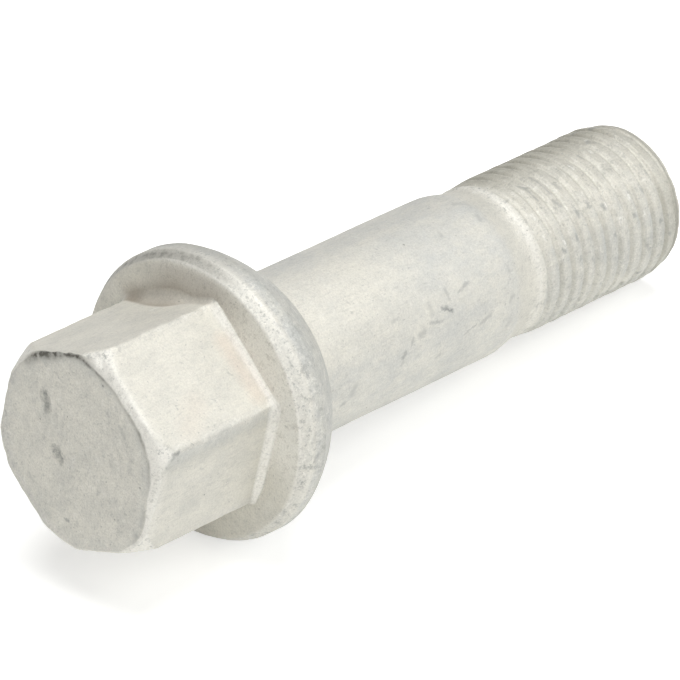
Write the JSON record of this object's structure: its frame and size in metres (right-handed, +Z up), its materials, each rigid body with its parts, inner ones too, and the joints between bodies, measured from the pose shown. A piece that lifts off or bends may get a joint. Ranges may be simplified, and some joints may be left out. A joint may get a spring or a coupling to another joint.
{
  "type": "wheel bolt",
  "caption": "One-piece wheel bolt: hexagon head, round flange with a ball seat, plain shank and right-hand thread.",
  "frame": {"origin": "middle of the bolt's box in plan, on the level surface that the bolt lies on", "axes": "+Z up; the bolt lies with its axis in the XZ plane, head towards -X and thread towards +X, the thread end 6.5 degrees down so that the flange's rim and the thread both touch the surface"},
  "size_m": [0.0678, 0.025, 0.025],
  "materials": {
    "coated_steel": "matte"
  },
  "bodies": {
    "root": {"wheel_bolt": "coated_steel"}
  },
  "joints": []
}
